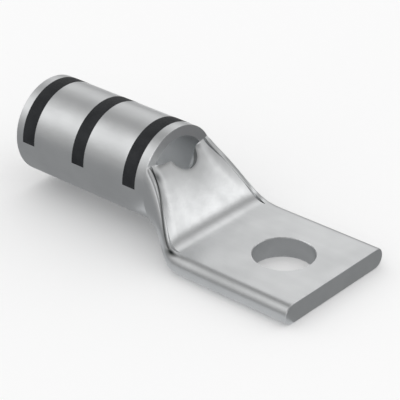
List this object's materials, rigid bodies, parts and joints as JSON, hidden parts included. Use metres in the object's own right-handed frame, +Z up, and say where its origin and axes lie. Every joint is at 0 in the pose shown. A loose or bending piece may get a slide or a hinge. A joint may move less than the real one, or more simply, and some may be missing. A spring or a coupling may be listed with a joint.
{
  "type": "cable lug",
  "caption": "One-hole compression cable lug: a round barrel for a stripped conductor, pressed at one end into a flat pad with a stud hole.",
  "frame": {"origin": "centre of the stud hole on the pad's underside", "axes": "+X from the barrel towards the pad's free end, +Z up through the pad, along the stud"},
  "size_m": [0.0515, 0.0208, 0.0154],
  "materials": {
    "tin_plate": "satin tin plating over copper",
    "band_ink": "printed black ink"
  },
  "bodies": {
    "root": {"cable_lug": "tin_plate"}
  },
  "joints": []
}
